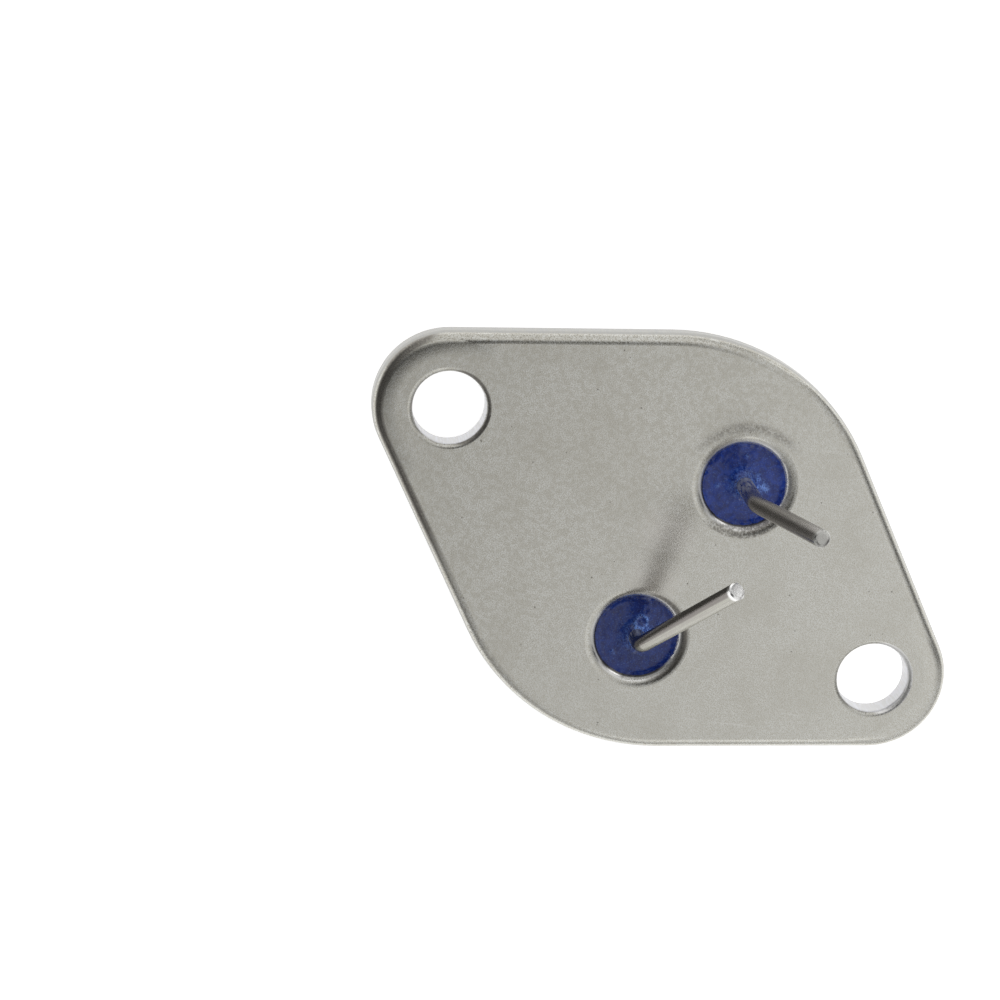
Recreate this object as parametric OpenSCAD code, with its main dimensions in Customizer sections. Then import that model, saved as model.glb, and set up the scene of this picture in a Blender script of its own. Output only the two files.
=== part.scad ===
// Power transistor in a diamond-shaped two-pin metal can.
// A steel header plate carries two fixing holes, two pins sealed in glass, and a
// welded cap. The chip sits inside on a copper heat spreader, wired to the pins.
// Lengths are in millimetres and angles in degrees.
// The origin lies on the seating face, midway between the fixing holes. +X runs
// along the plate to the hole nearer the pins, and +Z points out of the seating
// face, so the part rests upside down on the flat top of its cap.

/* [Header plate] */
// Thickness of the plate
plate_t = 1.55; // [1.3:0.05:2.4]
// Width of the plate across its two large arcs
plate_w = 25; // [24:0.1:27]
// Distance between the two fixing holes
hole_spacing = 30.15; // [29.4:0.05:32]
// Radius of the rounded ear at each end, about its fixing hole
ear_r = 4.4; // [4:0.1:5.2]
// Rounding of the outer edge on the seating side, left by the blanking die
edge_round = 0.65; // [0.2:0.05:0.9]
// Rounding of the outer edge on the cap side
back_edge_round = 0.15; // [0.05:0.05:0.4]
// Diameter of each fixing hole
fixing_hole_d = 4.2; // [3.4:0.1:4.6]
// Rounding of a fixing hole's rim on the seating side
fixing_hole_round = 0.3; // [0.05:0.05:0.5]

/* [Glass seals] */
// Diameter of the hole that each glass seal fills
seal_d = 4.6; // [4:0.1:5.4]
// Rounding of a seal hole's rim on the seating side
seal_hole_round = 0.8; // [0.3:0.05:1]
// Depth of the glass below the seating face
seal_recess = 0.4; // [0.2:0.05:0.6]
// Depth of the glass below the plate's inner face
seal_inner_recess = 0.1; // [0.05:0.05:0.3]
// Width of the collar of glass that climbs each pin
seal_collar_w = 0.45; // [0.35:0.05:0.6]
// Height of that collar
seal_collar_h = 0.28; // [0.15:0.01:0.32]

/* [Pins] */
// Diameter of each pin
pin_d = 1; // [0.8:0.01:1.15]
// Distance between the two pins where they leave the glass
pin_pitch = 10.92; // [10.4:0.02:11.6]
// Distance of the pins' line from the middle of the plate
pin_offset = 1.8; // [1.3:0.05:2.2]
// Length of each pin along its middle line, from the seating face to the tip
pin_length = 11.7; // [10.5:0.1:13]
// Width of the chamfer at each tip
pin_chamfer = 0.08; // [0.04:0.01:0.2]
// Height of the base pin's bend above the seating face
base_bend_z = 3.8; // [2:0.1:5]
// Radius of the base pin's bend, to its middle line
base_bend_r = 4; // [1.5:0.1:6]
// Angle that the base pin leans over past its bend
base_lean = 16.5; // [5:0.5:20]
// Direction of the base pin's lean, turned from +X towards +Y
base_lean_turn = 38.5; // [0:0.5:90]
// Height of the emitter pin's bend above the seating face
emitter_bend_z = 1.3; // [0.8:0.1:3]
// Radius of the emitter pin's bend, to its middle line
emitter_bend_r = 1.5; // [1:0.1:1.9]
// Angle that the emitter pin leans over past its bend
emitter_lean = 42.5; // [5:0.5:45]
// Direction of the emitter pin's lean, turned from +X towards +Y
emitter_lean_turn = 87; // [60:1:100]
// Diameter of the flattened head inside the can, which the wires are bonded to
head_d = 1.5; // [1.3:0.1:2.4]
// Thickness of that head
head_t = 0.3; // [0.2:0.05:0.6]

/* [Cap] */
// Height of the whole can, from the seating face to the top of the cap
can_h = 8.5; // [7.6:0.1:9.6]
// Outer diameter of the cap's side wall
cap_d = 19.6; // [18.8:0.1:20]
// Outer diameter of the brim that is welded to the plate
brim_d = 22.4; // [21.6:0.1:23]
// Thickness of the cap's sheet
cap_wall = 0.4; // [0.3:0.05:0.5]
// Outer radius of the shoulder between the side wall and the flat top
shoulder_r = 1.1; // [0.7:0.1:2]
// Radius of the hollow corner between the side wall and the brim
brim_bend_r = 0.5; // [0.3:0.05:0.6]
// Rounding of the brim's outer edge
brim_edge_round = 0.12; // [0.05:0.01:0.2]

/* [Chip and heat spreader] */
// Diameter of the copper heat spreader
spreader_d = 8; // [7.4:0.1:9]
// Thickness of the heat spreader
spreader_t = 1.2; // [0.8:0.1:1.8]
// Chamfer round the top of the heat spreader
spreader_chamfer = 0.15; // [0.05:0.05:0.3]
// Gap between the heat spreader and each seal hole
spreader_gap = 0.6; // [0.3:0.05:0.9]
// Thickness of the braze under the heat spreader
braze_t = 0.1; // [0.05:0.01:0.2]
// Width of the braze that shows round the heat spreader
braze_margin = 0.15; // [0.05:0.05:0.2]
// Side of the square silicon die
die_side = 4.6; // [3.6:0.1:4.8]
// Thickness of the die
die_t = 0.25; // [0.2:0.01:0.4]
// Width of the step etched round the die's upper face
die_step_w = 0.2; // [0.1:0.05:0.4]
// Depth of that step
die_step_h = 0.1; // [0.05:0.01:0.15]
// Thickness of the solder under the die
solder_t = 0.1; // [0.05:0.01:0.2]
// Width of the solder that shows round the die
solder_margin = 0.12; // [0.05:0.01:0.2]

/* [Bond wires] */
// Diameter of each emitter wire
emitter_wire_d = 0.3; // [0.2:0.01:0.4]
// Distance between the two emitter wires
emitter_wire_pitch = 0.6; // [0.45:0.05:0.7]
// Diameter of the base wire
base_wire_d = 0.25; // [0.15:0.01:0.4]
// Height of a wire's loop above the die
wire_rise = 1.6; // [0.8:0.1:2.4]
// Distance of each bond on the die from its middle, along both sides
bond_in = 1.2; // [0.7:0.1:1.3]

/* [Hidden] */
$fn = 96;

steel = [0.69, 0.69, 0.67];
nickel = [0.74, 0.75, 0.75];
blue_glass = [0.17, 0.22, 0.42];
pin_metal = [0.60, 0.58, 0.55];
copper = [0.72, 0.45, 0.30];
braze_alloy = [0.80, 0.72, 0.50];
silicon = [0.25, 0.26, 0.30];
solder = [0.55, 0.55, 0.57];
aluminium = [0.85, 0.85, 0.86];

pin_r = pin_d / 2;
seal_r = seal_d / 2;
cap_r = cap_d / 2;
cap_h = can_h - plate_t;
// Where a straight side of the plate leaves the large arc, turned from +X
side_turn = acos((plate_w / 2 - ear_r) / (hole_spacing / 2));
side_length = (hole_spacing / 2) * sin(side_turn);
// Plain metal kept round the rounded rim of each hole
rim_margin = 0.3;
// The heat spreader lies as near to the middle as the two seals allow
spreader_x = pin_offset
    - sqrt(pow(seal_r + spreader_gap + spreader_d / 2, 2) - pow(pin_pitch / 2, 2));
// Height above the plate's inner face of each layer under the chip
spreader_z = braze_t;
solder_z = spreader_z + spreader_t;
die_z = solder_z + solder_t;
// The pins end level with the face of the die, where the wires are bonded
bond_z = die_z + die_t;
// A cutting tool reaches this far past what it cuts
past = 1;

// What rounding a corner takes away. The corner lies at the origin, and its sides
// run along -X and -Y.
module corner_waste(radius) {
    difference() {
        translate([-radius, -radius]) square(2 * radius);
        translate([-radius, -radius]) circle(radius);
    }
}

// A quarter of a ring about the origin, from -X round to -Y
module quarter_ring(inner, outer) {
    intersection() {
        difference() {
            circle(outer);
            circle(inner);
        }
        translate([-outer, -outer]) square(outer);
    }
}

// Places its children on the plate's inner face, with +Z pointing into the cap
module inside() {
    translate([0, 0, -plate_t]) mirror([0, 0, 1]) children();
}

// Section of the plate from an axis out to its edge: both edges are rounded
module plate_section(reach) {
    difference() {
        translate([0, -plate_t]) square([reach, plate_t]);
        translate([reach, 0]) corner_waste(edge_round);
        translate([reach, -plate_t]) mirror([0, 1]) corner_waste(back_edge_round);
    }
}

// Section of the metal round a hole, whose rim is rounded on the seating side
module rim_section(radius, round_r) {
    difference() {
        translate([radius, -plate_t]) square([round_r + rim_margin, plate_t]);
        translate([radius, 0]) mirror([1, 0]) corner_waste(round_r);
    }
}

// Places its children where a straight side leaves the large arc, with +X pointing
// out through that side and -Y pointing along it to the ear
module at_side() {
    rotate(side_turn) children();
}

// A quarter of the plate before it is pierced: half of a large arc, a straight side
// and half of an ear. The arcs are cut on the planes where the side meets them, and
// a block that reaches into all three makes them one solid.
module plate_quarter() {
    side_x = plate_w / 2 - ear_r;
    intersection() {
        at_side() {
            intersection() {
                rotate_extrude() plate_section(plate_w / 2);
                translate([-plate_w, 0, -plate_w]) cube([2 * plate_w, plate_w, 2 * plate_w]);
            }
            translate([side_x, 0, 0]) rotate([90, 0, 0])
                linear_extrude(side_length) plate_section(ear_r);
            translate([0, -side_length - ear_r / 2, -plate_t])
                cube([side_x + ear_r / 2, side_length + ear_r, plate_t]);
            translate([side_x, -side_length, 0]) intersection() {
                rotate_extrude() plate_section(ear_r);
                translate([-plate_w, -plate_w, -plate_w])
                    cube([2 * plate_w, plate_w, 2 * plate_w]);
            }
        }
        translate([0, 0, -plate_w]) cube(2 * plate_w);
    }
}

// The four quarters, and a bar between the ears that reaches into all of them
module plate_blank() {
    for (flip_x = [0, 1], flip_y = [0, 1])
        mirror([flip_x, 0, 0]) mirror([0, flip_y, 0]) plate_quarter();
    translate([-hole_spacing / 2, -ear_r / 2, -plate_t]) cube([hole_spacing, ear_r, plate_t]);
}

// Pierces its children at one place and gives the hole its rounded rim, on a ring
// of metal that reaches into what is left of them
module pierced(place, radius, round_r) {
    difference() {
        children();
        translate([place[0], place[1], -plate_t - past])
            cylinder(r = radius + round_r + rim_margin / 2, h = plate_t + 2 * past);
    }
    translate([place[0], place[1], 0]) rotate_extrude() rim_section(radius, round_r);
}

module header_plate() {
    color(steel)
        pierced([hole_spacing / 2, 0], fixing_hole_d / 2, fixing_hole_round)
        pierced([-hole_spacing / 2, 0], fixing_hole_d / 2, fixing_hole_round)
        pierced([pin_offset, pin_pitch / 2], seal_r, seal_hole_round)
        pierced([pin_offset, -pin_pitch / 2], seal_r, seal_hole_round)
        plate_blank();
}

// Section of the cap: flat top, shoulder, side wall, bend and brim, of one thickness
module cap_section() {
    bend_outer = brim_bend_r + cap_wall;
    bend_x = cap_r + brim_bend_r;
    translate([0, cap_h - cap_wall]) square([cap_r - shoulder_r, cap_wall]);
    translate([cap_r - shoulder_r, cap_h - shoulder_r]) rotate(180)
        quarter_ring(shoulder_r - cap_wall, shoulder_r);
    translate([cap_r - cap_wall, bend_outer])
        square([cap_wall, cap_h - shoulder_r - bend_outer]);
    translate([bend_x, bend_outer]) quarter_ring(brim_bend_r, bend_outer);
    difference() {
        translate([bend_x, 0]) square([brim_d / 2 - bend_x, cap_wall]);
        translate([brim_d / 2, cap_wall]) corner_waste(brim_edge_round);
    }
}

module cap() {
    color(nickel) inside() rotate_extrude() cap_section();
}

// Section of a glass seal: it fills its hole and climbs the pin in a hollow collar
module seal_section() {
    flank_r = (pow(seal_collar_w, 2) + pow(seal_collar_h, 2)) / (2 * seal_collar_h);
    difference() {
        translate([pin_r, seal_inner_recess - plate_t])
            square([seal_r + seal_hole_round - pin_r,
                    plate_t - seal_inner_recess - seal_recess]);
        rim_section(seal_r, seal_hole_round);
    }
    difference() {
        translate([pin_r, -seal_recess]) square([seal_collar_w, seal_collar_h]);
        translate([pin_r + seal_collar_w, flank_r - seal_recess]) circle(flank_r);
    }
}

module glass_seal(side) {
    color(blue_glass) translate([pin_offset, side * pin_pitch / 2, 0])
        rotate_extrude() seal_section();
}

module base_seal() {
    glass_seal(1);
}

module emitter_seal() {
    glass_seal(-1);
}

// The bent stretch of a pin. It starts at the origin, going up, and leans to +X. The
// ring it is cut from is trimmed on the planes where the straight stretches meet it.
module pin_bend(bend_r, lean) {
    reach = bend_r + pin_d;
    translate([bend_r, 0, 0]) intersection() {
        rotate([90, 0, 0]) rotate_extrude() translate([bend_r, 0]) circle(pin_r);
        translate([-reach, -reach, 0]) cube([reach, 2 * reach, reach]);
        rotate([0, lean, 0]) translate([-reach, -reach, -reach])
            cube([reach, 2 * reach, reach]);
    }
}

// A pin at the origin: a flattened head inside the can, a straight shank through
// the glass, a bend, and a straight leaning end with a chamfered tip
module pin(bend_z, bend_r, lean, lean_turn) {
    shank_top = bend_z - bend_r * tan(lean / 2);
    shank_length = shank_top + plate_t + bond_z - head_t;
    end_length = pin_length - shank_top - bend_r * lean * PI / 180 - pin_chamfer;
    color(pin_metal) translate([0, 0, shank_top]) rotate(lean_turn) {
        translate([0, 0, -shank_length]) {
            cylinder(r = pin_r, h = shank_length);
            translate([0, 0, -head_t]) cylinder(d = head_d, h = head_t);
        }
        pin_bend(bend_r, lean);
        translate([bend_r, 0, 0]) rotate([0, lean, 0]) translate([-bend_r, 0, 0]) {
            cylinder(r = pin_r, h = end_length);
            translate([0, 0, end_length])
                cylinder(r1 = pin_r, r2 = pin_r - pin_chamfer, h = pin_chamfer);
        }
    }
}

module base_pin() {
    translate([pin_offset, pin_pitch / 2, 0])
        pin(base_bend_z, base_bend_r, base_lean, base_lean_turn);
}

module emitter_pin() {
    translate([pin_offset, -pin_pitch / 2, 0])
        pin(emitter_bend_z, emitter_bend_r, emitter_lean, emitter_lean_turn);
}

module spreader_braze() {
    color(braze_alloy) inside() translate([spreader_x, 0, 0])
        cylinder(r = spreader_d / 2 + braze_margin, h = braze_t);
}

module heat_spreader() {
    color(copper) inside() translate([spreader_x, 0, spreader_z]) {
        cylinder(d = spreader_d, h = spreader_t - spreader_chamfer);
        translate([0, 0, spreader_t - spreader_chamfer])
            cylinder(r1 = spreader_d / 2, r2 = spreader_d / 2 - spreader_chamfer,
                     h = spreader_chamfer);
    }
}

// A flat square block centred over the heat spreader
module chip_layer(side, bottom, height) {
    translate([spreader_x, 0, bottom + height / 2]) cube([side, side, height], center = true);
}

module die_solder() {
    color(solder) inside() chip_layer(die_side + 2 * solder_margin, solder_z, solder_t);
}

module silicon_die() {
    color(silicon) inside() {
        chip_layer(die_side, die_z, die_t - die_step_h);
        chip_layer(die_side - 2 * die_step_w, die_z + die_t - die_step_h, die_step_h);
    }
}

// A round wire that loops from one point to another on the bonding level
module bond_wire(start, end, wire_d) {
    span = norm(end - start);
    run = (end - start) / span;
    loop_r = (pow(span / 2, 2) + pow(wire_rise, 2)) / (2 * wire_rise);
    half_turn = wire_rise < loop_r ? asin(span / 2 / loop_r) : 180 - asin(span / 2 / loop_r);
    // Each end dips far enough below the bonding level to be trimmed flat there
    dip_turn = wire_d / loop_r * 180 / PI;
    middle = (start + end) / 2;
    color(aluminium) inside() difference() {
        translate([middle[0], middle[1], bond_z + wire_rise - loop_r])
            rotate(atan2(run[1], run[0])) rotate([90, 0, 0])
            rotate(90 - half_turn - dip_turn)
            rotate_extrude(angle = 2 * (half_turn + dip_turn))
            translate([loop_r, 0]) circle(d = wire_d);
        translate([middle[0], middle[1], bond_z - wire_rise])
            cube([4 * span, 4 * span, 2 * wire_rise], center = true);
    }
}

module base_bond_wire() {
    bond_wire([spreader_x + bond_in, bond_in], [pin_offset, pin_pitch / 2], base_wire_d);
}

module emitter_bond_wires() {
    pad = [spreader_x + bond_in, -bond_in];
    post = [pin_offset, -pin_pitch / 2];
    across = [post[1] - pad[1], pad[0] - post[0]] / norm(post - pad);
    for (side = [-0.5, 0.5]) {
        shift = side * emitter_wire_pitch * across;
        bond_wire(pad + shift, post + shift, emitter_wire_d);
    }
}

header_plate();
cap();
base_seal();
emitter_seal();
base_pin();
emitter_pin();
heat_spreader();
spreader_braze();
silicon_die();
die_solder();
base_bond_wire();
emitter_bond_wires();
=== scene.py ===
"""Finish of a power transistor in a diamond-shaped two-pin metal can.

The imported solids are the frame. This script dresses them in plated steel, blue
glass and plated wire, and sets the part on a pale floor in soft studio light.
Lengths are in metres and angles in degrees.
"""

from __future__ import annotations

import logging
import math
from collections.abc import Iterator
from dataclasses import dataclass, field
from enum import Enum
from functools import cached_property, reduce

import bmesh
import bpy
from mathutils import Matrix, Vector, noise


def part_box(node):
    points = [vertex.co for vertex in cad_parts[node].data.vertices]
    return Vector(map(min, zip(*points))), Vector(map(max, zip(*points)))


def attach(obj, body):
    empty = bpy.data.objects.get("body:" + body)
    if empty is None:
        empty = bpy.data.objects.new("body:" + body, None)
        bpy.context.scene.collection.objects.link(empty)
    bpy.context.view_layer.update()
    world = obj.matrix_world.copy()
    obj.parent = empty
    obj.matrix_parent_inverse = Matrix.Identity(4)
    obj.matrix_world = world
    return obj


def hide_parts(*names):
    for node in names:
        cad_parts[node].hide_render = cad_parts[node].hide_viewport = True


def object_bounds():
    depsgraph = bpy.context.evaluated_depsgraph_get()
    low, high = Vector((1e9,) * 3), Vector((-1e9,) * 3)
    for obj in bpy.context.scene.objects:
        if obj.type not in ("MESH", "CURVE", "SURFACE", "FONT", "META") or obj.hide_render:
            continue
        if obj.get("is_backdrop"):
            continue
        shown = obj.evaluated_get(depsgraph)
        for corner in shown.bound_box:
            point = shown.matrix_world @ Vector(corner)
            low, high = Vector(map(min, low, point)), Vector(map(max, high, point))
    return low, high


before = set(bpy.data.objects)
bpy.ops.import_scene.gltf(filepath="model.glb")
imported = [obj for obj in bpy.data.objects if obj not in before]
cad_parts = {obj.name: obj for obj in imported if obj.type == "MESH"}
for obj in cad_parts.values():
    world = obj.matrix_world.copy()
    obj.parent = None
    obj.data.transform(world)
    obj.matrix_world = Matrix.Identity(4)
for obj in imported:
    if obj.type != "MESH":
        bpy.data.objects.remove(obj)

log = logging.getLogger("power_transistor")
MM = 0.001
Colour = tuple[float, float, float]
Socket = bpy.types.NodeSocket


class Bend(Enum):
    """Which way a height map is read by the bump."""

    RAISED = False
    SUNK = True


def put(name: str, data: bmesh.types.BMesh | bpy.types.ID) -> bpy.types.Object:
    """Makes an object and puts it in the scene.

    Args:
        name: Name of the object and of its mesh.
        data: A bmesh, which is used up, or other data.

    Returns:
        The object.
    """
    if isinstance(data, bmesh.types.BMesh):
        mesh = bpy.data.meshes.new(name)
        data.to_mesh(mesh)
        data.free()
        data = mesh
    thing = bpy.data.objects.new(name, data)
    bpy.context.scene.collection.objects.link(thing)
    return thing


class Nodes:
    """A node tree, with the steps that a material and a world both need."""

    def __init__(self, owner: bpy.types.Material | bpy.types.World) -> None:
        """Turns on the owner's node tree.

        Args:
            owner: The material or world that the nodes are for.
        """
        owner.use_nodes = True
        self.tree = owner.node_tree

    def add(self, kind: str, **settings: object) -> bpy.types.Node:
        """Adds one node.

        Args:
            kind: Blender's name for the node.
            settings: Properties of the node, by name.

        Returns:
            The new node.
        """
        node = self.tree.nodes.new(kind)
        for key, value in settings.items():
            setattr(node, key, value)
        return node

    def feed(self, socket: Socket, value: object) -> None:
        """Links a socket to another, or gives it a fixed value.

        Args:
            socket: The input to set.
            value: An output socket, a number or a colour.
        """
        if isinstance(value, bpy.types.NodeSocket):
            self.tree.links.new(value, socket)
        else:
            socket.default_value = value

    def math(self, operation: str, *values: object) -> Socket:
        """Works out one number from others.

        Args:
            operation: Name of the sum, such as ADD.
            values: Numbers or sockets.

        Returns:
            The result.
        """
        node = self.add("ShaderNodeMath", operation=operation)
        for socket, value in zip(node.inputs, values):
            self.feed(socket, value)
        return node.outputs[0]

    def both(self, *marks: object) -> Socket:
        """Multiplies marks, so that the result shows only where all of them do."""
        return reduce(lambda a, b: self.math("MULTIPLY", a, b), marks)

    def either(self, *marks: object) -> Socket:
        """Takes the strongest of some marks."""
        return reduce(lambda a, b: self.math("MAXIMUM", a, b), marks)

    def span(self, value: object, low: float, high: float, to_low: float = 0.0,
             to_high: float = 1.0) -> Socket:
        """Maps one span of numbers smoothly onto another and stops at its ends.

        Args:
            value: The number to map.
            low: Start of the span.
            high: End of the span.
            to_low: What the start becomes.
            to_high: What the end becomes.

        Returns:
            The mapped number.
        """
        node = self.add("ShaderNodeMapRange", interpolation_type="SMOOTHSTEP")
        for socket, number in zip(node.inputs, (value, low, high, to_low, to_high)):
            self.feed(socket, number)
        return node.outputs[0]

    def vectors(self, operation: str, one: Socket, other: object) -> bpy.types.Node:
        """Works out something from two vectors.

        Args:
            operation: Name of the sum, such as DISTANCE.
            one: The first vector.
            other: The second vector, which is fixed.

        Returns:
            The node, for whichever of its outputs is wanted.
        """
        node = self.add("ShaderNodeVectorMath", operation=operation)
        self.feed(node.inputs[0], one)
        node.inputs[1].default_value = other
        return node

    def along(self, vector: Socket, direction: Vector) -> Socket:
        """Measures how far a vector goes along one direction."""
        return self.vectors("DOT_PRODUCT", vector, direction).outputs["Value"]


class Finish(Nodes):
    """A material's node tree, with a method for each kind of pattern and mark."""

    def __init__(self, name: str) -> None:
        """Starts a material with an empty principled shader.

        Args:
            name: Name of the material.
        """
        self.material = bpy.data.materials.new(name)
        super().__init__(self.material)
        self.shader = self.tree.nodes["Principled BSDF"]
        self.place = self.add("ShaderNodeTexCoord").outputs["Object"]

    def set(self, **inputs: object) -> None:
        """Sets or links the shader's own sockets, named with underscores for spaces."""
        for key, value in inputs.items():
            self.feed(self.shader.inputs[key.replace("_", " ")], value)

    def noise(self, size: float, detail: float = 2.0, stretch: Vector | None = None,
              turn: float = 0.0, shift: float = 0.0, warp: float = 0.0) -> Socket:
        """Makes cloudy noise.

        Args:
            size: Length of one cloud.
            detail: How many finer layers are added.
            stretch: How many times longer the clouds are along each axis.
            turn: Turn of the stretched clouds about Z, in degrees.
            shift: Distance that moves the pattern, so that two don't match.
            warp: How far the noise bends itself.

        Returns:
            The noise, from 0 to 1.
        """
        mapping = self.add("ShaderNodeMapping", vector_type="TEXTURE")
        self.feed(mapping.inputs["Vector"], self.place)
        mapping.inputs["Scale"].default_value = stretch or Vector((1, 1, 1))
        mapping.inputs["Rotation"].default_value = (0, 0, math.radians(turn))
        mapping.inputs["Location"].default_value = (shift, shift * 0.7, shift * 0.4)
        node = self.add("ShaderNodeTexNoise")
        self.feed(node.inputs["Vector"], mapping.outputs["Vector"])
        node.inputs["Scale"].default_value = 1 / size
        node.inputs["Detail"].default_value = detail
        node.inputs["Distortion"].default_value = warp
        return node.outputs["Fac"]

    def part(self, vector: Socket, letter: str) -> Socket:
        """Reads one coordinate of a vector, such as Z."""
        split = self.add("ShaderNodeSeparateXYZ")
        self.feed(split.inputs[0], vector)
        return split.outputs[letter]

    def axis(self, letter: str) -> Socket:
        """Reads one coordinate of the place, such as Z."""
        return self.part(self.place, letter)

    def outward(self) -> Socket:
        """Reads the direction that the smooth surface faces."""
        return self.add("ShaderNodeNewGeometry").outputs["Normal"]

    def normal(self, letter: str) -> Socket:
        """Reads one coordinate of the smooth surface's direction, such as Z."""
        return self.part(self.outward(), letter)

    def facing(self, direction: Vector) -> Socket:
        """Measures how far the smooth surface faces one direction, from -1 to 1."""
        return self.along(self.outward(), direction)

    def mark(self, name: str) -> Socket:
        """Reads a number that a mesh carries at its points."""
        return self.add("ShaderNodeAttribute", attribute_name=name).outputs["Fac"]

    def toward(self, line: Vector, azimuth: float) -> Socket:
        """Measures how far a place lies from an upright line in one direction.

        Args:
            line: Where the line stands.
            azimuth: The direction, turned from +X in degrees.

        Returns:
            The distance along that direction.
        """
        a = math.radians(azimuth)
        away = self.vectors("SUBTRACT", self.place, (line.x, line.y, 0))
        return self.along(away.outputs[0], Vector((math.cos(a), math.sin(a), 0)))

    def from_axis(self, line: Vector) -> Socket:
        """Measures the distance from an upright line.

        Args:
            line: Where the line stands.

        Returns:
            The distance.
        """
        flat = self.vectors("MULTIPLY", self.place, (1, 1, 0))
        return self.vectors("DISTANCE", flat.outputs[0], (line.x, line.y, 0)).outputs["Value"]

    def near(self, point: Vector, inner: float, outer: float) -> Socket:
        """Marks a ball of the material.

        Args:
            point: Centre of the ball.
            inner: Distance up to which the mark is whole.
            outer: Distance at which it has faded.

        Returns:
            The mark, from 0 to 1.
        """
        away = self.vectors("DISTANCE", self.place, point)
        return self.span(away.outputs["Value"], inner, outer, 1.0, 0.0)

    def beside(self, lines: tuple[Vector, ...], inner: float, outer: float) -> Socket:
        """Marks the material round some upright lines.

        Args:
            lines: Where the lines stand.
            inner: Distance up to which the mark is whole.
            outer: Distance at which it has faded.

        Returns:
            The mark, from 0 to 1.
        """
        return self.either(*(self.span(self.from_axis(line), inner, outer, 1.0, 0.0)
                             for line in lines))

    def specks(self, spacing: float, radius: float, share: float) -> Socket:
        """Scatters small spots.

        Args:
            spacing: Rough distance between two places for a spot.
            radius: Radius of the largest spots.
            share: Share of the places that carry a spot.

        Returns:
            The spots, from 0 to 1.
        """
        cells = self.add("ShaderNodeTexVoronoi")
        self.feed(cells.inputs["Vector"], self.place)
        cells.inputs["Scale"].default_value = 1 / spacing
        dice = self.add("ShaderNodeSeparateColor")
        self.feed(dice.inputs[0], cells.outputs["Color"])
        size = self.both(dice.outputs["Green"], radius / spacing)
        spot = self.math("DIVIDE", cells.outputs["Distance"], self.math("MAXIMUM", size, 0.004))
        kept = self.math("LESS_THAN", dice.outputs["Red"], share)
        return self.both(kept, self.span(spot, 0.6, 1.1, 1.0, 0.0))

    def scratches(self, turn: float, shift: float) -> Socket:
        """Draws sparse fine scratches in one direction.

        Args:
            turn: Direction of the scratches about Z, in degrees.
            shift: Distance that moves the pattern.

        Returns:
            The scratches, from 0 to 1.
        """
        lines = self.noise(0.11 * MM, 1, Vector((60, 1, 1)), turn, shift)
        breaks = self.noise(2.2 * MM, 2, shift=shift)
        return self.both(self.span(lines, 0.685, 0.72), self.span(breaks, 0.52, 0.6))

    def wire_lines(self, along: Vector, size: float, length: float) -> Socket:
        """Makes noise drawn out along a wire.

        Args:
            along: Direction of the wire.
            size: Width of one line.
            length: How many times longer than wide the lines are.

        Returns:
            The noise, from 0 to 1.
        """
        mapping = self.add("ShaderNodeMapping", vector_type="TEXTURE")
        self.feed(mapping.inputs["Vector"], self.place)
        mapping.inputs["Rotation"].default_value = along.to_track_quat("Z", "Y").to_euler()
        mapping.inputs["Scale"].default_value = (1, 1, length)
        node = self.add("ShaderNodeTexNoise")
        self.feed(node.inputs["Vector"], mapping.outputs["Vector"])
        node.inputs["Scale"].default_value = 1 / size
        node.inputs["Detail"].default_value = 2.0
        return node.outputs["Fac"]

    def blend(self, amount: object, under: object, over: object) -> Socket:
        """Lays one colour over another.

        Args:
            amount: How much of the upper colour shows.
            under: Lower colour.
            over: Upper colour.

        Returns:
            The blended colour.
        """
        node = self.add("ShaderNodeMix", data_type="RGBA")
        self.feed(node.inputs[0], amount)
        self.feed(node.inputs[6], (*under, 1) if isinstance(under, tuple) else under)
        self.feed(node.inputs[7], (*over, 1) if isinstance(over, tuple) else over)
        return node.outputs[2]

    def relief(self, height: Socket, depth: float, under: Socket | None = None,
               way: Bend = Bend.RAISED) -> Socket:
        """Turns a height map into bent normals.

        Args:
            height: Height from 0 to 1.
            depth: Height of the relief in metres.
            under: Normals that this relief is laid over.
            way: Whether the map is raised or sunk.

        Returns:
            The normals.
        """
        node = self.add("ShaderNodeBump", invert=way.value)
        node.inputs["Strength"].default_value = 1.0
        node.inputs["Distance"].default_value = depth
        self.feed(node.inputs["Height"], height)
        if under is not None:
            self.feed(node.inputs["Normal"], under)
        return node.outputs["Normal"]


@dataclass(frozen=True)
class Arc:
    """A mark on one side of an upright line.

    Attributes:
        azimuth: The side that it lies on, in degrees.
        side: Distances toward that side at which it begins and is whole.
        fades: Distances from the line at which it begins to fade and is gone.
        starts: Distances from the line at which it begins and is whole. Without them
            it reaches the line.
    """

    azimuth: float
    side: tuple[float, float]
    fades: tuple[float, float]
    starts: tuple[float, float] | None = None

    def draw(self, f: Finish, line: Vector) -> Socket:
        """Draws the mark.

        Args:
            f: The finish that the mark is for.
            line: Where the line stands.

        Returns:
            The mark, from 0 to 1.
        """
        away = f.from_axis(line)
        mark = f.both(f.span(away, *self.fades, 1.0, 0.0),
                      f.span(f.toward(line, self.azimuth), *self.side))
        if self.starts is None:
            return mark
        return f.both(mark, f.span(away, *self.starts))


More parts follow.
